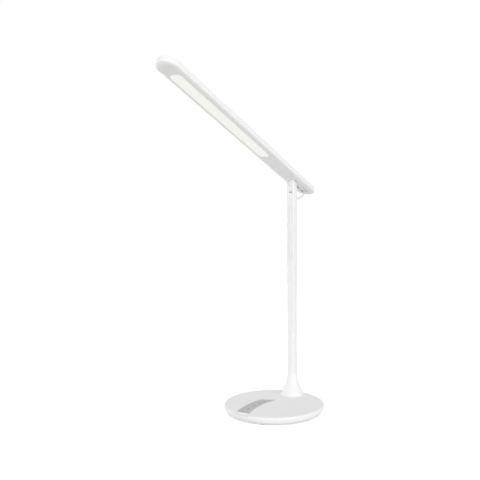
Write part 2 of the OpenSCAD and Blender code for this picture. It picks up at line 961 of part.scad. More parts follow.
// A long body with round ends: one profile, swept straight and turned at both ends
module long_body(profile) {
    front_y = -(head_front - half_w);
    rear_y = head_rear - half_w;
    translate([0, front_y, 0])
        rotate([0, 0, 180])
            rotate_extrude(angle = 180, $fn = 96)
                polygon(profile);
    translate([0, rear_y, 0])
        rotate_extrude(angle = 180, $fn = 96)
            polygon(profile);
    translate([0, rear_y, 0])
        rotate([90, 0, 0])
            linear_extrude(rear_y - front_y)
                if (profile[0][0] == 0) {
                    polygon(concat(profile, mirrored(profile)));
                } else {
                    polygon(profile);
                    polygon(mirrored(profile));
                }
}

// Outer profile of the lower shell, from the middle of the underside to the split
function shell_outer() =
    concat([[0, head_rise]],
           arc([belly_flat, head_rise + belly_curve_r], belly_curve_r, -90,
               -90 + asin((half_w - belly_flat) / belly_curve_r), 6),
           [[half_w, split_z], [0, split_z]]);

// Hollow of the lower shell
function shell_inner() =
    [[0, floor_z], [floor_half, floor_z], [inner_half, band_low + 0.8],
     [inner_half, split_z + through], [0, split_z + through]];

// A rounded rectangle along the head, w wide, between two distances from the hinge
module head_plate(w, near, far, r) {
    translate([0, -(near + far) / 2])
        polygon(concat(arc([w / 2 - r, (far - near) / 2 - r], r, 0, 90, 8),
                       arc([-w / 2 + r, (far - near) / 2 - r], r, 90, 180, 8),
                       arc([-w / 2 + r, -(far - near) / 2 + r], r, 180, 270, 8),
                       arc([w / 2 - r, -(far - near) / 2 + r], r, 270, 360, 8)));
}

// Places a child at each screw of the heat plate
module at_plate_screws() {
    for (x = [-1, 1], y = [-diffuser_near + boss_margin, -diffuser_far - boss_margin])
        translate([x * plate_screw_x, y, 0])
            children();
}

module head_shell() {
    color(white)
    at_head()
        difference() {
            union() {
                difference() {
                    long_body(shell_outer());
                    long_body(shell_inner());
                }
                at_plate_screws()
                    translate([0, 0, floor_z - 0.5])
                        cylinder(d = plate_boss_d, h = plate_z - floor_z + 0.5);
                // raised inner floor over the groove, on which the lug's flange sits
                intersection() {
                    long_body(shell_outer());
                    translate([-lug_flange_w / 2, -lug_flange_l / 2 - 1, floor_z - 0.5])
                        cube([lug_flange_w, head_rear + lug_flange_l,
                              groove_depth + 0.5]);
                }
            }
            // groove, round at the front and open at the rear end
            translate([0, 0, head_rise - through])
                linear_extrude(groove_depth + through) {
                    translate([-groove_w / 2, groove_w / 2 - groove_front])
                        square([groove_w, head_rear + groove_front]);
                    translate([0, groove_w / 2 - groove_front])
                        circle(d = groove_w);
                }
            translate([0, 0, head_rise - through])
                linear_extrude(head_wall + 2 * through)
                    head_plate(diffuser_w, diffuser_near, diffuser_far,
                               diffuser_corner_r);
            translate([-lug_w / 2 - gap, -neck_w / 2 - neck_relief, groove_z - through])
                cube([lug_w + 2 * gap, neck_w + neck_relief + gap,
                      head_wall + 2 * through]);
            at_lug_screws()
                translate([0, 0, lug_seat_z - lug_screw_grip])
                    cylinder(d = lug_screw_d + 2 * pin_hole_gap,
                             h = lug_screw_grip + through);
            translate([0, cable_entry, groove_z - through])
                cylinder(d = grommet_d, h = head_wall + 2 * through);
            at_plate_screws()
                translate([0, 0, plate_z - plate_screw_grip - 2 * gap])
                    cylinder(d = plate_screw_d + 2 * pin_hole_gap,
                             h = plate_screw_grip + 2 * gap + through);
        }
}

module head_cover() {
    lip_t = 1.2;
    lip_h = 2;
    rib_w = 1.6;
    color(white)
    at_head()
        union() {
            difference() {
                long_body(concat([[0, split_z], [half_w, split_z]],
                                 arc([half_w - cover_edge_r, head_top - cover_edge_r],
                                     cover_edge_r, 0, 90, 5),
                                 [[0, head_top]]));
                long_body([[0, split_z - through], [inner_half, split_z - through],
                           [inner_half, cover_inner], [0, cover_inner]]);
            }
            // locating lip inside the lower shell
            long_body([[inner_half - gap - lip_t, split_z - lip_h],
                       [inner_half - gap, split_z - lip_h],
                       [inner_half - gap, split_z + 0.4], [inner_half, split_z + 0.4],
                       [inner_half, cover_inner], [inner_half - gap - lip_t, cover_inner]]);
            // ribs that hold the heat plate down
            for (i = [0:4])
                translate([-plate_w / 2 + 1,
                           -diffuser_near - 10
                               - i * (diffuser_far - diffuser_near - 20) / 4 - rib_w / 2,
                           plate_top])
                    cube([plate_w - 2, rib_w, cover_inner - plate_top + 0.5]);
        }
}

module diffuser() {
    color(cream)
    at_head() {
        translate([0, 0, head_rise])
            linear_extrude(head_wall)
                head_plate(diffuser_w - 2 * gap, diffuser_near + gap, diffuser_far - gap,
                           diffuser_corner_r - gap);
        translate([0, 0, floor_z])
            linear_extrude(diffuser_flange_t)
                head_plate(diffuser_w + 2, diffuser_near - end_margin,
                           diffuser_far + end_margin, 3);
    }
}

module light_guide() {
    color("#e4eef2")
    at_head()
        translate([-guide_w / 2, -diffuser_far - end_margin, guide_z])
            cube([guide_w, diffuser_far - diffuser_near + 2 * end_margin, guide_t]);
}

module reflector() {
    color("#fafafa")
    at_head()
        translate([-guide_w / 2, -diffuser_far - end_margin, reflector_z])
            cube([guide_w, diffuser_far - diffuser_near + 2 * end_margin, reflector_t]);
}

module led_strips() {
    color("#f1dc9a")
    at_head()
        for (s = [0, 1])
            mirror([s, 0, 0])
                translate([guide_w / 2, -diffuser_far, guide_z + 0.1])
                    cube([led_t, diffuser_far - diffuser_near, led_h]);
}

module heat_plate() {
    color("#c9ccce")
    at_head()
        difference() {
            union() {
                translate([-plate_w / 2, -diffuser_far - plate_margin, plate_z])
                    cube([plate_w, diffuser_far - diffuser_near + 2 * plate_margin,
                          heat_plate_t]);
                for (s = [0, 1])
                    mirror([s, 0, 0])
                        translate([plate_w / 2 - plate_flange_t, -diffuser_far,
                                   guide_z + 0.3])
                            cube([plate_flange_t, diffuser_far - diffuser_near,
                                  plate_z - guide_z]);
            }
            at_plate_screws()
                translate([0, 0, plate_z - through])
                    cylinder(d = plate_screw_d + 0.3, h = heat_plate_t + 2 * through);
        }
}

module heat_plate_screws() {
    color(steel)
    at_head()
        at_plate_screws() {
            translate([0, 0, plate_z - plate_screw_grip])
                cylinder(d = plate_screw_d, h = heat_plate_t + plate_screw_grip);
            translate([0, 0, plate_top])
                cylinder(d = small_head_d, h = small_head_h);
        }
}

rubber_feet();
base_tray();
ballast_disc();
base_cover();
base_screws();
control_board();
dc_inlet();
touch_strip();
touch_board();
stem_foot();
stem_core();
stem_screws();
stem_back_cover();
stem_lower_cover();
stem_upper_cover();
stem_trim();
night_light_cover();
night_light_board();
stem_hinge_block();
hinge_pin();
hinge_pin_covers();
hinge_washers();
stem_cable_grommet();
hinge_cable();
hinge_lug();
lug_screws();
head_shell();
head_cover();
head_cable_grommet();
diffuser();
light_guide();
reflector();
led_strips();
heat_plate();
heat_plate_screws();
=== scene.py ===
import math

import bmesh
import bpy
from mathutils import Matrix, Vector


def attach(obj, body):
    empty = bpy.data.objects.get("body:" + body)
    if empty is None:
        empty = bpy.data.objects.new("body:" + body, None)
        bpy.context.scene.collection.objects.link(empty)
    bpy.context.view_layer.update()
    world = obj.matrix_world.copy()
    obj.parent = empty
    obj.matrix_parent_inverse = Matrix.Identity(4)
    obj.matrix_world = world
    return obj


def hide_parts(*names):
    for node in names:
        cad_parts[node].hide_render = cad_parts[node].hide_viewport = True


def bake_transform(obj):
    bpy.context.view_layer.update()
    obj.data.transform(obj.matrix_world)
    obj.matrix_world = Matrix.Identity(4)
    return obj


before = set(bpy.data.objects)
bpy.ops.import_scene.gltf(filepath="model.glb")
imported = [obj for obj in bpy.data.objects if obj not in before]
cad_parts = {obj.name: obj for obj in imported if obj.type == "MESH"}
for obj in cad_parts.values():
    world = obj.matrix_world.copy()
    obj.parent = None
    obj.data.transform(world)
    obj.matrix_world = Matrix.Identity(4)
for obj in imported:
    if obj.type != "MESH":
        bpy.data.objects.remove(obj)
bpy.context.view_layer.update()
scene = bpy.context.scene
bpy.ops.object.select_all(action="DESELECT")

# ---------------------------------------------------------------- camera
# A catalogue view from the front right, at about half the lamp's height, looking up a
# little, with a normal lens. The lamp stands right of the picture's middle.
CAMERA_PLACE = (0.5209, -0.8535, 0.2976)
CAMERA_TURN = math.radians(31.25)
CAMERA_LOOKS_UP = math.radians(0.62)
LENS_MM = 41.25
SENSOR_MM = 36
MIDDLE_COLUMN = 275.59  # column of the picture that the camera's axis passes through
PICTURE_WIDTH = 480
NEAREST_SEEN = 0.05

camera_data = bpy.data.cameras.new("view")
camera_data.lens = LENS_MM
camera_data.sensor_width = SENSOR_MM
camera_data.shift_x = (PICTURE_WIDTH / 2 - MIDDLE_COLUMN) / PICTURE_WIDTH
camera_data.clip_start = NEAREST_SEEN
camera = bpy.data.objects.new("view", camera_data)
camera.location = CAMERA_PLACE
camera.rotation_euler = (math.pi / 2 + CAMERA_LOOKS_UP, 0, CAMERA_TURN)
scene.collection.objects.link(camera)
scene.camera = camera

# ---------------------------------------------------------------- hinge cable
# A short round lead that carries the LED current past the hinge, from the back of the
# stem into the groove under the head. Its sheath is soft white PVC, drawn smooth and
# slightly dull, and it sags in one loose bow.
HINGE_Y = 0.066
HINGE_Z = 0.4065
CABLE_RADIUS = 0.0013
CABLE_SIDES = 16
CABLE_STEPS = 6  # rings between two points of the route
# Distance behind the hinge axis and height above it, in metres
CABLE_ROUTE = [(0.0047, -0.015), (0.0071, -0.015), (0.010, -0.0151), (0.014, -0.0154),
               (0.018, -0.0157), (0.022, -0.0156), (0.026, -0.0151), (0.030, -0.0142),
               (0.034, -0.013), (0.038, -0.0115), (0.042, -0.0096), (0.0454, -0.0075),
               (0.048, -0.0053), (0.0499, -0.0036), (0.051, -0.0021), (0.0525, 0.0023)]


def to_linear(code):
    """An sRGB hex colour as Blender's linear red, green, blue and alpha."""
    channels = [int(code[i:i + 2], 16) / 255 for i in (1, 3, 5)]
    return [c / 12.92 if c <= 0.04045 else ((c + 0.055) / 1.055) ** 2.4
            for c in channels] + [1]


def add_node(owner, kind, settings=None, values=None, links=None):
    """Add a shader node with its settings, its sockets' values and what feeds them."""
    made = owner.node_tree.nodes.new(kind)
    for name, value in (settings or {}).items():
        setattr(made, name, value)
    for socket, value in (values or {}).items():
        made.inputs[socket].default_value = value
    for socket, source in (links or {}).items():
        owner.node_tree.links.new(source, made.inputs[socket])
    return made


def new_finish(name, tones, cloud_mm, grain_mm, grain_depth_mm, rough, shader_values):
    """A material whose colour drifts between two tones, with a grain and uneven gloss."""
    finish = bpy.data.materials.new(name)
    finish.use_nodes = True
    shader = finish.node_tree.nodes["Principled BSDF"]
    for socket, value in shader_values.items():
        shader.inputs[socket].default_value = value
    place = add_node(finish, "ShaderNodeTexCoord")
    clouds = add_node(finish, "ShaderNodeTexNoise",
                      values={"Scale": 1000 / cloud_mm, "Detail": 3.0, "Roughness": 0.5},
                      links={"Vector": place.outputs["Object"]})
    colour = add_node(finish, "ShaderNodeMix", {"data_type": "RGBA"},
                      {6: to_linear(tones[0]), 7: to_linear(tones[1])},
                      {0: clouds.outputs["Fac"]})
    gloss = add_node(finish, "ShaderNodeMapRange",
                     values={"To Min": rough[0], "To Max": rough[1]},
                     links={"Value": clouds.outputs["Fac"]})
    grain = add_node(finish, "ShaderNodeTexNoise",
                     values={"Scale": 1000 / grain_mm, "Detail": 2.0},
                     links={"Vector": place.outputs["Object"]})
    relief = add_node(finish, "ShaderNodeBump",
                      values={"Strength": 1.0, "Distance": grain_depth_mm / 1000},
                      links={"Height": grain.outputs["Fac"]})
    links = finish.node_tree.links
    links.new(colour.outputs[2], shader.inputs["Base Color"])
    links.new(gloss.outputs["Result"], shader.inputs["Roughness"])
    links.new(relief.outputs["Normal"], shader.inputs["Normal"])
    return finish


# Extruded PVC: soft, faintly uneven along its length, with a broad dull shine
pvc_sheath = new_finish("extruded_pvc_sheath", ("#dadad9", "#e0e0df"), 4, 1.5, 0.01,
                        (0.42, 0.52), {"IOR": 1.53})


def smooth_route(points, steps):
    """Points of one smooth curve through all of the given ones."""
    ends = [2 * points[0] - points[1], *points, 2 * points[-1] - points[-2]]
    made = []
    for a, b, c, d in zip(ends, ends[1:], ends[2:], ends[3:]):
        for i in range(steps):
            t = i / steps
            made.append(0.5 * (2 * b + (c - a) * t + (2 * a - 5 * b + 4 * c - d) * t * t
                               + (3 * b - a - 3 * c + d) * t ** 3))
    return made + [points[-1]]


cable_path = smooth_route([Vector((0, HINGE_Y + y, HINGE_Z + z)) for y, z in CABLE_ROUTE],
                          CABLE_STEPS)
tube = bmesh.new()
rings = []
for i, point in enumerate(cable_path):
    ahead = cable_path[min(i + 1, len(cable_path) - 1)] - cable_path[max(i - 1, 0)]
    across = Vector((1, 0, 0))
    up = across.cross(ahead.normalized())
    turns = [2 * math.pi * j / CABLE_SIDES for j in range(CABLE_SIDES)]
    rings.append([tube.verts.new(point + CABLE_RADIUS
                                 * (math.cos(a) * across + math.sin(a) * up))
                  for a in turns])
for near, far in zip(rings, rings[1:]):
    for j in range(CABLE_SIDES):
        k = (j + 1) % CABLE_SIDES
        tube.faces.new((near[j], near[k], far[k], far[j]))
tube.faces.new(rings[0])
tube.faces.new(rings[-1])
bmesh.ops.recalc_face_normals(tube, faces=tube.faces)
cable_mesh = bpy.data.meshes.new("hinge_lead")
tube.to_mesh(cable_mesh)
tube.free()
cable_mesh.polygons.foreach_set("use_smooth", [True] * len(cable_mesh.polygons))
cable_mesh.materials.append(pvc_sheath)
cable = bpy.data.objects.new("hinge_lead", cable_mesh)
scene.collection.objects.link(cable)
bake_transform(cable)
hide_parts("hinge_cable")

# ---------------------------------------------------------------- studio
# A white paper sweep under soft light: a bright room, a box beside the camera, one on
# the right and a low one on the left. The sweep's colour is lightest round the lamp, a
# painted pool of light that the object sees; it shows pure white to the camera and in
# reflections.
FLOOR_SIZE = 6.0
NEAR_SHADE = "#e8e8e8"  # what the object sees of the paper near the base: a lighter colour, a painted pool of light
FAR_SHADE = "#c8c8c8"  # the same, further off
NEAR_MM = 150
FAR_MM = 650
NEAR_GLOW = 0.45  # what lifts the paper to white, and leaves a shadow under the base
FAR_GLOW = 0.8
FLOOR_PLACE = (0, 0.1, -0.0003)
ZENITH_LIGHT = 0.55
HORIZON_LIGHT = 1.04
FRONT_SHARE = 1.15  # of the room's light, in front and behind
BACK_SHARE = 0.85
LAMPS = [  # name, place, looks at, width, height, watts
    ("box_in_front", (0.5, -1.7, 0.45), (0, 0, 0.2), 1.2, 1.0, 4.4),
    ("box_on_right", (1.7, -0.5, 0.4), (0, 0, 0.2), 1.2, 1.0, 8.5),
    ("low_box_on_left", (-1.2, -0.2, 0.12), (0, 0, 0.35), 0.8, 0.5, 2.3),
]


def seen_directly(owner):
    """A node that gives 1 to the rays that show a thing itself, and 0 to its light."""
    ray = add_node(owner, "ShaderNodeLightPath")
    seen = add_node(owner, "ShaderNodeMath", {"operation": "MAXIMUM"},
                    links={0: ray.outputs["Is Camera Ray"], 1: ray.outputs["Is Glossy Ray"]})
    return add_node(owner, "ShaderNodeMath", {"operation": "MAXIMUM"},
                    links={0: seen.outputs[0], 1: ray.outputs["Is Transmission Ray"]})


paper = bpy.data.materials.new("paper_sweep")
paper.use_nodes = True
paper.node_tree.nodes.clear()
paper_seen = seen_directly(paper)
paper_place = add_node(paper, "ShaderNodeTexCoord")
from_base = add_node(paper, "ShaderNodeVectorMath", {"operation": "LENGTH"},
                     links={0: paper_place.outputs["Object"]})
falling_off = add_node(paper, "ShaderNodeMapRange", {"interpolation_type": "SMOOTHSTEP"},
                       {"From Min": NEAR_MM / 1000, "From Max": FAR_MM / 1000},
                       {"Value": from_base.outputs["Value"]})
# Painted pool of light: the paper's colour is lighter near the base than further off.
paper_painted_light_pool = add_node(paper, "ShaderNodeMix", {"data_type": "RGBA"},
                       {6: to_linear(NEAR_SHADE), 7: to_linear(FAR_SHADE)},
                       {0: falling_off.outputs["Result"]})
paper_face = add_node(paper, "ShaderNodeBsdfDiffuse",
                      links={"Color": paper_painted_light_pool.outputs[2]})
paper_glow = add_node(paper, "ShaderNodeMapRange",
                      values={"To Min": NEAR_GLOW, "To Max": FAR_GLOW},
                      links={"Value": falling_off.outputs["Result"]})
paper_lift = add_node(paper, "ShaderNodeEmission", values={"Color": (1, 1, 1, 1)},
                      links={"Strength": paper_glow.outputs["Result"]})
lifted = add_node(paper, "ShaderNodeAddShader",
                  links={0: paper_face.outputs[0], 1: paper_lift.outputs[0]})
paper_mix = add_node(paper, "ShaderNodeMixShader",
                     links={0: paper_seen.outputs[0], 1: paper_face.outputs[0],
                            2: lifted.outputs[0]})
add_node(paper, "ShaderNodeOutputMaterial", links={"Surface": paper_mix.outputs[0]})

bpy.ops.mesh.primitive_plane_add(size=FLOOR_SIZE)
floor = bpy.context.object
floor.name = "floor"
floor.location = FLOOR_PLACE
floor.data.materials.append(paper)

world = bpy.data.worlds.new("studio")
scene.world = world
world.use_nodes = True
room = world.node_tree.nodes["Background"]
room.inputs["Color"].default_value = (1, 1, 1, 1)
room_seen = seen_directly(world)
direction = add_node(world, "ShaderNodeTexCoord")
direction_parts = add_node(world, "ShaderNodeSeparateXYZ",
                           links={0: direction.outputs["Generated"]})
walls = add_node(world, "ShaderNodeMapRange",
                 values={"To Min": HORIZON_LIGHT, "To Max": ZENITH_LIGHT},
                 links={"Value": direction_parts.outputs["Z"]})
front_to_back = add_node(world, "ShaderNodeMapRange",
                         values={"From Min": -1.0, "From Max": 1.0,
                                 "To Min": FRONT_SHARE, "To Max": BACK_SHARE},
                         links={"Value": direction_parts.outputs["Y"]})
room_light = add_node(world, "ShaderNodeMath", {"operation": "MULTIPLY"},
                      links={0: walls.outputs["Result"], 1: front_to_back.outputs["Result"]})
strength = add_node(world, "ShaderNodeMix", values={3: 1.0},
                    links={0: room_seen.outputs[0], 2: room_light.outputs[0]})
world.node_tree.links.new(strength.outputs[0], room.inputs["Strength"])
scene.view_settings.view_transform = "Standard"

for name, place, target, width, height, watts in LAMPS:
    lamp_data = bpy.data.lights.new(name, "AREA")
    lamp_data.shape = "RECTANGLE"
    lamp_data.size = width
    lamp_data.size_y = height
    lamp_data.energy = watts
    lamp = bpy.data.objects.new(name, lamp_data)
    lamp.location = place
    aim = Vector(target) - Vector(place)
    lamp.rotation_euler = aim.to_track_quat("-Z", "Y").to_euler()
    lamp.visible_camera = False
    scene.collection.objects.link(lamp)

# ---------------------------------------------------------------- base
# Tray and cover of the round base, moulded in white ABS. The mould was spark eroded, so
# the faces have a fine matt grain. The tray's side is curved in towards the table.

# Moulded ABS: milky white, satin, with a grain that is drawn 1 mm wide so that it shows
white_abs = new_finish("moulded_white_abs", ("#f0f0f0", "#f4f4f3"), 30, 1.0, 0.004,
                       (0.36, 0.44), {"IOR": 1.54})


def set_finish(node, finish):
    """Give a CAD node's object its material."""
    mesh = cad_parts[node].data
    mesh.materials.clear()
    mesh.materials.append(finish)


for node in ("base_tray", "base_cover"):
    set_finish(node, white_abs)

# ---------------------------------------------------------------- rubber feet
# Six round pads of pale grey silicone rubber, pressed into the tray. Each has a rounded
# rim and a shallow round recess in its sole, as moulded non-slip feet have.
FOOT_COUNT = 6
FOOT_FIRST_ANGLE = -73
FOOT_RING_MM = 77.4
FOOT_MM = 12
FOOT_HIGH_MM = 2.2
FOOT_EDGE_MM = 0.6
SOLE_STEPS_MM = (1.2, 0.9)  # in from the rounded rim to the recess
RECESS_MM = 0.3
SMOOTH_ANGLE = math.radians(32)  # faces that meet at less than this shade as one

# Silicone rubber of the feet: dull and even, with a bloom that takes the edge off its shine.
# The same grey is also painted shade in the line round the stem's trim.
silicone_and_gap_shade = new_finish("grey_silicone_and_gap_shade", ("#c6c6c6", "#cfcfce"), 3, 0.5, 0.01,
                      (0.62, 0.72), {"IOR": 1.43})


def start_piece(name, finish):
    """Name the object that was just added, and give it its material."""
    piece = bpy.context.object
    piece.name = name
    piece.data.name = name
    piece.data.materials.append(finish)
    return piece


def select_where(piece, kind, wanted):
    """In edit mode, select just the faces, edges or verts that a test picks."""
    bpy.ops.mesh.select_all(action="DESELECT")
    shape = bmesh.from_edit_mesh(piece.data)
    for part in getattr(shape, kind):
        part.select_set(wanted(part))
    bmesh.update_edit_mesh(piece.data)


def settle(piece, body):
    """Finish a piece: place in its mesh, normals outward, smooth shading, on its body."""
    bpy.ops.object.select_all(action="DESELECT")
    piece.select_set(True)
    bpy.context.view_layer.objects.active = piece
    bpy.ops.object.transform_apply(location=True, rotation=True, scale=True)
    bpy.ops.object.mode_set(mode="EDIT")
    bpy.ops.mesh.select_all(action="SELECT")
    bpy.ops.mesh.remove_doubles(threshold=1e-7)
    bpy.ops.mesh.normals_make_consistent(inside=False)
    bpy.ops.object.mode_set(mode="OBJECT")
    bpy.ops.object.shade_smooth_by_angle(angle=SMOOTH_ANGLE)
    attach(piece, body)
    return piece


def copies(piece, matrices):
    """Join copies of a piece, one at each place, and drop the first one."""
    made = []
    for matrix in matrices:
        mesh = piece.data.copy()
        mesh.transform(matrix)
        made.append(bpy.data.objects.new(piece.name, mesh))
        scene.collection.objects.link(made[-1])
    name = piece.name
    bpy.data.objects.remove(piece)
    bpy.ops.object.select_all(action="DESELECT")
    for part in made:
        part.select_set(True)
    bpy.context.view_layer.objects.active = made[0]
    bpy.ops.object.join()
    made[0].name = name
    return made[0]


bpy.ops.mesh.primitive_cylinder_add(vertices=48, radius=FOOT_MM / 2000,
                                    depth=FOOT_HIGH_MM / 1000,
                                    location=(0, 0, FOOT_HIGH_MM / 2000))
pad = start_piece("rubber_pads", silicone_and_gap_shade)
bpy.ops.object.transform_apply(location=True)
bpy.ops.object.mode_set(mode="EDIT")
select_where(pad, "faces", lambda face: face.normal.z < -0.9)
bpy.ops.mesh.bevel(offset=FOOT_EDGE_MM / 1000, segments=3, affect="EDGES")
select_where(pad, "faces", lambda face: face.normal.z < -0.99)
for step in SOLE_STEPS_MM:
    bpy.ops.mesh.inset(thickness=step / 1000)
bpy.ops.mesh.extrude_region_move(TRANSFORM_OT_translate={"value": (0, 0, RECESS_MM / 1000)})
bpy.ops.object.mode_set(mode="OBJECT")
pads = copies(pad, [Matrix.Rotation(math.radians(FOOT_FIRST_ANGLE + i * 360 / FOOT_COUNT),
                                    4, "Z") @ Matrix.Translation((FOOT_RING_MM / 1000, 0, 0))
                    for i in range(FOOT_COUNT)])
settle(pads, "stand")
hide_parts("rubber_feet")

# ---------------------------------------------------------------- base screws
# Five pan-head screws of zinc-plated steel under the tray, each in a round recess, with
# a cross recess for the driver. They stand at five of the six corners of a hexagon.
SCREW_COUNT = 5
BOSS_RING_MM = 62
BOSS_FIRST_ANGLE = 185
BOSS_STEP = 60
SCREW_HEAD_MM = 5.6
SCREW_HEAD_HIGH_MM = 1.2
SCREW_MM = 3
SCREW_LENGTH_MM = 8.2
SCREW_EDGE_MM = 0.5
DRIVER_SLOT_MM = (2.8, 0.7, 1.4)
TRAY_LOW_MM = 1.4

# Zinc plating: bright grey with a cool cast, clouded by the passivated film
zinc = new_finish("zinc_plated_steel", ("#a9adb0", "#b9bdc0"), 2, 0.3, 0.002,
                  (0.28, 0.4), {"Metallic": 1.0})

bpy.ops.mesh.primitive_cylinder_add(vertices=32, radius=SCREW_HEAD_MM / 2000,
                                    depth=SCREW_HEAD_HIGH_MM / 1000,
                                    location=(0, 0, (TRAY_LOW_MM + SCREW_HEAD_HIGH_MM / 2)
                                              / 1000))
screw = start_piece("pan_head_screws", zinc)
bpy.ops.object.transform_apply(location=True)
bpy.ops.object.mode_set(mode="EDIT")
select_where(screw, "faces", lambda face: face.normal.z < -0.9)
bpy.ops.mesh.bevel(offset=SCREW_EDGE_MM / 1000, segments=3, affect="EDGES")
select_where(screw, "faces", lambda face: face.normal.z > 0.9)
bpy.ops.mesh.inset(thickness=(SCREW_HEAD_MM - SCREW_MM) / 2000)
bpy.ops.mesh.extrude_region_move(
    TRANSFORM_OT_translate={"value": (0, 0, (SCREW_LENGTH_MM - SCREW_HEAD_HIGH_MM) / 1000)})
bpy.ops.object.mode_set(mode="OBJECT")
for turn in (0, 90):
    bpy.ops.mesh.primitive_cube_add(size=1, location=(0, 0, TRAY_LOW_MM / 1000),
                                    scale=[side / 1000 for side in DRIVER_SLOT_MM],
                                    rotation=(0, 0, math.radians(turn)))
    cutter = bpy.context.object
    driver_slot = screw.modifiers.new("driver", "BOOLEAN")
    driver_slot.operation = "DIFFERENCE"
    driver_slot.solver = "EXACT"
    driver_slot.object = cutter
    bpy.ops.object.select_all(action="DESELECT")
    screw.select_set(True)
    bpy.context.view_layer.objects.active = screw
    bpy.ops.object.modifier_apply(modifier="driver")
    bpy.data.objects.remove(cutter)
screws = copies(screw, [
    Matrix.Rotation(math.radians(BOSS_FIRST_ANGLE + BOSS_STEP * i), 4, "Z")
    @ Matrix.Translation((BOSS_RING_MM / 1000, 0, 0)) for i in range(SCREW_COUNT)])
settle(screws, "stand")
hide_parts("base_screws")

# ---------------------------------------------------------------- touch strip
# A printed film on a thin acrylic strip, set in the channel of the base. The grey print
# is on its back, so the front is smooth. Small printed signs mark the touch keys.

# Back-printed acrylic: cool grey ink under a clear satin face
touch_film = new_finish("back_printed_acrylic", ("#b0b0b1", "#b6b6b7"), 6, 1.0, 0.002,
                        (0.3, 0.36), {"IOR": 1.49, "Coat Weight": 0.15,
                                      "Coat Roughness": 0.3})
set_finish("touch_strip", touch_film)

# Screen-print ink of the signs: a darker, flat grey
sign_ink = new_finish("dark_grey_screen_ink", ("#626265", "#6c6c6f"), 2, 0.5, 0.002,
                      (0.45, 0.5), {"IOR": 1.5})

STRIP_TOP_MM = 13.6
SIGN_HIGH_MM = 0.05
# Middle of each key's sign, from the back of the strip to its front
BRIGHTER = (-19.5, -2)
DIMMER = (-22.2, -15.5)
COLOUR = (-19.5, -34.5)
TIMER = (-19.5, -56)
POWER = (-20.5, -72)
SUN_RAYS = 8  # round the colour key's little sun
SUN_RAYS_MM = 3  # from the sun's middle to the middle of a ray


def sign_bar(place, length, width, turn):
    """One printed bar of a sign, lying on the strip."""
    bpy.ops.mesh.primitive_cube_add(
        size=1, location=(place[0] / 1000, place[1] / 1000,
                          (STRIP_TOP_MM + SIGN_HIGH_MM / 2) / 1000),
        scale=(length / 1000, width / 1000, SIGN_HIGH_MM / 1000),
        rotation=(0, 0, math.radians(turn)))
    return bpy.context.object


def sign_ring(place, radius, width):
    """One printed ring of a sign."""
    bpy.ops.mesh.primitive_torus_add(
        major_segments=32, minor_segments=4, major_radius=radius / 1000,
        minor_radius=width / 2000,
        location=(place[0] / 1000, place[1] / 1000,
                  (STRIP_TOP_MM + SIGN_HIGH_MM / 2) / 1000))
    ring = bpy.context.object
    ring.scale.z = SIGN_HIGH_MM / width
    return ring


# Radius and line width of the rings, length and width of the bars, in millimetres
signs = [sign_ring(BRIGHTER, 2.2, 0.6), sign_bar(BRIGHTER, 2.6, 0.6, 0),
         sign_bar(BRIGHTER, 2.6, 0.6, 90), sign_ring(DIMMER, 2.2, 0.6),
         sign_bar(DIMMER, 2.8, 0.9, 0), sign_ring(COLOUR, 1.6, 0.7),
         sign_ring(TIMER, 2.6, 0.7), sign_bar((TIMER[0], TIMER[1] + 0.8), 1.9, 0.6, 90),
         sign_bar((TIMER[0] + 0.7, TIMER[1]), 1.6, 0.6, 0), sign_ring(POWER, 2.2, 0.7),
         sign_bar((POWER[0], POWER[1] + 2), 2.4, 0.7, 90)]
for i in range(SUN_RAYS):
    turn = i * 360 / SUN_RAYS
    ray_place = (COLOUR[0] + SUN_RAYS_MM * math.cos(math.radians(turn)),
                 COLOUR[1] + SUN_RAYS_MM * math.sin(math.radians(turn)))
    signs.append(sign_bar(ray_place, 1.0, 0.5, turn))
bpy.ops.object.select_all(action="DESELECT")
for part in signs:
    part.select_set(True)
bpy.context.view_layer.objects.active = signs[0]
bpy.ops.object.join()
touch_signs = start_piece("touch_signs", sign_ink)
settle(touch_signs, "stand")

# A polished white bar closes the channel in front of the strip and covers its cut end.
BAR_FROM_MM = (-25.7, -80.7, 12.45)
BAR_TO_MM = (-0.9, -79.05, 13.85)
BAR_EDGE_MM = 1.1
polished_abs = new_finish("polished_white_abs", ("#f4f4f4", "#f8f8f7"), 20, 1.2, 0.002,
                          (0.14, 0.2), {"IOR": 1.54})
bar_middle = [(a + b) / 2000 for a, b in zip(BAR_FROM_MM, BAR_TO_MM)]
bpy.ops.mesh.primitive_cube_add(
    size=1, location=bar_middle,
    scale=[(b - a) / 1000 for a, b in zip(BAR_FROM_MM, BAR_TO_MM)])
end_bar = start_piece("strip_end_bar", polished_abs)
bpy.ops.object.transform_apply(location=True, scale=True)
bpy.ops.object.mode_set(mode="EDIT")
select_where(end_bar, "edges", lambda edge: all(
    vert.co.y < bar_middle[1] and vert.co.z > bar_middle[2] for vert in edge.verts))
bpy.ops.mesh.bevel(offset=BAR_EDGE_MM / 1000, segments=4, affect="EDGES")
bpy.ops.object.mode_set(mode="OBJECT")
settle(end_bar, "stand")

# ---------------------------------------------------------------- hidden parts
# What the housings hide: the steel ballast, the circuit boards, the inlet, the stem's
# steel core, and the pin, washers and screws of stem and head.

# Rolled steel plate: grey, softly clouded
mild_steel = new_finish("rolled_mild_steel", ("#8f9396", "#9ea2a5"), 12, 0.8, 0.004,
                        (0.35, 0.5), {"Metallic": 1.0})
# Solder-masked board: glossy dark green over copper and glass cloth
green_board = new_finish("solder_masked_glass_epoxy", ("#2f6b4a", "#3a7a55"), 5, 0.6,
                         0.004, (0.25, 0.35), {"IOR": 1.55})
# White solder mask of the LED boards
white_board = new_finish("white_solder_mask", ("#ececea", "#f2f2f0"), 4, 0.6, 0.003,
                         (0.3, 0.4), {"IOR": 1.55})
# Nylon of the inlet: black, slightly dull
black_nylon = new_finish("black_moulded_nylon", ("#191919", "#202020"), 3, 0.4, 0.004,
                         (0.4, 0.5), {"IOR": 1.53})

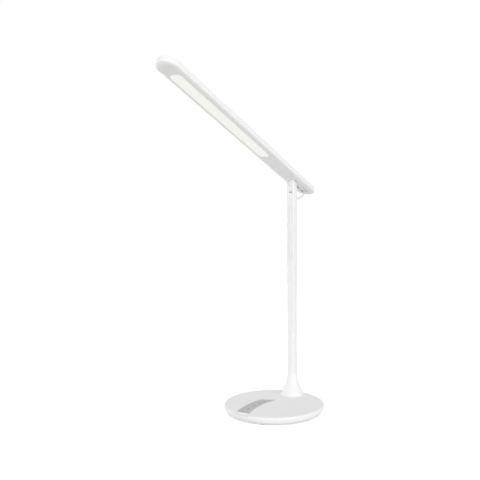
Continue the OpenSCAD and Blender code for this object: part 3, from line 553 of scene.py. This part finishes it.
for node in ("ballast_disc", "stem_core"):
    set_finish(node, mild_steel)
for node in ("stem_screws", "hinge_pin", "hinge_washers", "lug_screws",
             "heat_plate_screws"):
    set_finish(node, zinc)
for node in ("control_board", "touch_board"):
    set_finish(node, green_board)
for node in ("night_light_board", "led_strips"):
    set_finish(node, white_board)
set_finish("dc_inlet", black_nylon)

# ---------------------------------------------------------------- stem
# A flared foot and three covers round the steel core, of the same white ABS as the base.
# The covers snap together in front and behind, and meet in fine lines.
EDGE_ANGLE = math.radians(35)  # edges that turn by more than this are rounded


def rounded_copy(node, name, body, finish, width_mm):
    """A copy of a rigid node, with its triangles merged and its sharp edges rounded."""
    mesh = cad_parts[node].data.copy()
    piece = bpy.data.objects.new(name, mesh)
    scene.collection.objects.link(piece)
    mesh.materials.clear()
    mesh.materials.append(finish)
    bpy.ops.object.select_all(action="DESELECT")
    piece.select_set(True)
    bpy.context.view_layer.objects.active = piece
    bpy.ops.mesh.customdata_custom_splitnormals_clear()
    bpy.ops.object.mode_set(mode="EDIT")
    bpy.ops.mesh.select_all(action="SELECT")
    bpy.ops.mesh.remove_doubles(threshold=1e-6)
    bpy.ops.mesh.dissolve_limited(angle_limit=math.radians(1))
    bpy.ops.mesh.normals_make_consistent(inside=False)
    bpy.ops.object.mode_set(mode="OBJECT")
    edge = piece.modifiers.new("edge", "BEVEL")
    edge.width = width_mm / 1000
    edge.segments = 2
    edge.limit_method = "ANGLE"
    edge.angle_limit = EDGE_ANGLE
    bpy.ops.object.modifier_apply(modifier="edge")
    bpy.ops.object.shade_smooth_by_angle(angle=SMOOTH_ANGLE)
    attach(piece, body)
    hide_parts(node)
    return piece


for node in ("stem_foot", "stem_back_cover", "stem_lower_cover", "stem_upper_cover"):
    set_finish(node, white_abs)
rounded_copy("stem_trim", "front_trim", "stand", white_abs, 0.2)

# A thin grey strip fills the line round the trim strip, a little below its face. It is
# painted shade: its grey stands in for the shadow in that narrow gap.
TRIM_Z_MM = (276, 374)
TRIM_R_MM = 2.7
GAP_SHADE_MM = 0.36
GAP_SHADE_Y_MM = (59.2, 59.65)
HAIR_MM = 0.01  # fit in the trim's channel, and a safe distance between two heights
bpy.ops.mesh.primitive_cylinder_add(
    vertices=48, radius=(TRIM_R_MM + GAP_SHADE_MM + HAIR_MM) / 1000,
    depth=(GAP_SHADE_Y_MM[1] - GAP_SHADE_Y_MM[0]) / 1000,
    location=(0, sum(GAP_SHADE_Y_MM) / 2000, (TRIM_Z_MM[0] + TRIM_R_MM) / 1000),
    rotation=(math.pi / 2, 0, 0))
gap_shade_strip = start_piece("trim_gap_shade", silicone_and_gap_shade)
bpy.ops.object.transform_apply(location=True, rotation=True)
bpy.ops.object.mode_set(mode="EDIT")
select_where(gap_shade_strip, "verts",
             lambda vert: vert.co.z > (TRIM_Z_MM[0] + TRIM_R_MM + HAIR_MM) / 1000)
bpy.ops.transform.translate(
    value=(0, 0, (TRIM_Z_MM[1] - TRIM_Z_MM[0] - 2 * TRIM_R_MM) / 1000))
select_where(gap_shade_strip, "faces", lambda face: abs(face.normal.y) > 0.9)
bpy.ops.mesh.inset(thickness=GAP_SHADE_MM / 1000)
bpy.ops.mesh.bridge_edge_loops()
bpy.ops.object.mode_set(mode="OBJECT")
settle(gap_shade_strip, "stand")

# ---------------------------------------------------------------- night light
# A long cover of milky polycarbonate over a row of LEDs in the stem. Unlit, it is a
# slightly deeper white than the covers around it, because light sinks into it.
glow_cover = new_finish("milky_polycarbonate", ("#f1f3ed", "#f5f7f1"), 20, 0.8, 0.003,
                        (0.3, 0.38), {"IOR": 1.58, "Subsurface Weight": 0.3,
                                      "Subsurface Radius": (0.004, 0.004, 0.0035),
                                      "Subsurface Scale": 0.5})
set_finish("night_light_cover", glow_cover)

# ---------------------------------------------------------------- hinge
# The hinge block, lug and pin covers are zinc castings painted white. The pin runs
# through the block's two ears and the lug, with a steel washer at each side.

# Sprayed paint: smoother and glossier than the ABS, with a faint orange peel
white_paint = new_finish("sprayed_white_paint", ("#f2f2f2", "#f5f5f5"), 25, 2.2, 0.006,
                         (0.26, 0.32), {"IOR": 1.5})
for node, name, body, edge_mm in (("stem_hinge_block", "hinge_block", "stand", 0.3),
                                  ("hinge_lug", "lug", "head", 0.3),
                                  ("hinge_pin_covers", "pin_covers", "stand", 0.2)):
    rounded_copy(node, name, body, white_paint, edge_mm)

# ---------------------------------------------------------------- grommets
# Soft PVC bushes that hold the lead in the stem and in the head.
soft_pvc = new_finish("soft_pvc_bush", ("#dededc", "#e6e6e4"), 3, 0.6, 0.006,
                      (0.5, 0.6), {"IOR": 1.53})
for node in ("stem_cable_grommet", "head_cable_grommet"):
    set_finish(node, soft_pvc)

# ---------------------------------------------------------------- head
# The long lower shell and its lid, of white ABS, meet in a line round the whole head.
for node in ("head_shell", "head_cover"):
    set_finish(node, white_abs)

# Two pairs of dark grey pads sit at the sides of the groove under the head's rear.
# They are painted shade: their dark grey stands in for the shadow along the groove's walls.
SHADE_PAD_MM = (0.78, 8.0, 0.9)
SHADE_PAD_EDGE_MM = 0.15
SHADE_PAD_ACROSS_MM = 6.09  # from the groove's middle line
SHADE_PAD_UP_MM = 16.85  # above the hinge axis, head level
SHADE_PAD_PLACES_MM = (29.5, 47)  # behind the hinge axis, head level
HEAD_TILT = math.radians(-18.6)
# Dark grey of the painted shade in the groove
groove_shade_finish = new_finish("dark_grey_groove_shade", ("#6a6a6c", "#767678"), 2, 0.5, 0.03,
                             (0.8, 0.9), {"IOR": 1.5})
hinge_turn = (Matrix.Translation((0, HINGE_Y, HINGE_Z))
              @ Matrix.Rotation(HEAD_TILT, 4, "X"))
bpy.ops.mesh.primitive_cube_add(size=1, scale=[side / 1000 for side in SHADE_PAD_MM])
shade_pad = start_piece("groove_shade_pads", groove_shade_finish)
bpy.ops.object.transform_apply(scale=True)
bpy.ops.object.mode_set(mode="EDIT")
bpy.ops.mesh.select_all(action="SELECT")
bpy.ops.mesh.bevel(offset=SHADE_PAD_EDGE_MM / 1000, segments=2, affect="EDGES")
bpy.ops.object.mode_set(mode="OBJECT")
shade_pads = copies(shade_pad, [
    hinge_turn @ Matrix.Translation(Vector((side * SHADE_PAD_ACROSS_MM, behind, SHADE_PAD_UP_MM)) / 1000)
    for side in (-1, 1) for behind in SHADE_PAD_PLACES_MM])
settle(shade_pads, "head")

# ---------------------------------------------------------------- light panel
# The opal panel in the underside spreads the light of two rows of LEDs at its edges. It
# is lit in the working pose, at a level that only lifts it above the shell around it.
PANEL_GLOW = 0.24
opal = new_finish("opal_acrylic", ("#f5f6f0", "#f8f9f4"), 40, 1.5, 0.003,
                  (0.4, 0.48), {"IOR": 1.49, "Emission Color": to_linear("#fbfbf3"),
                                "Emission Strength": PANEL_GLOW})
set_finish("diffuser", opal)

# Cast acrylic of the light guide: clear, with a polish that only shows at its edges
clear_acrylic = new_finish("clear_cast_acrylic", ("#f4f8f8", "#fafcfc"), 20, 2, 0.002,
                           (0.04, 0.08), {"IOR": 1.49, "Transmission Weight": 1.0})
set_finish("light_guide", clear_acrylic)
# Microfoamed polyester behind the guide: a bright, chalky white
foam_film = new_finish("foamed_polyester_film", ("#f8f8f8", "#fcfcfc"), 15, 0.4, 0.004,
                       (0.7, 0.8), {"IOR": 1.57})
set_finish("reflector", foam_film)
# Sheet aluminium, rolled: pale, with a soft directionless shine
sheet_aluminium = new_finish("mill_finish_aluminium", ("#c9ccce", "#d4d6d8"), 10, 0.5,
                             0.003, (0.32, 0.42), {"Metallic": 1.0})
set_finish("heat_plate", sheet_aluminium)
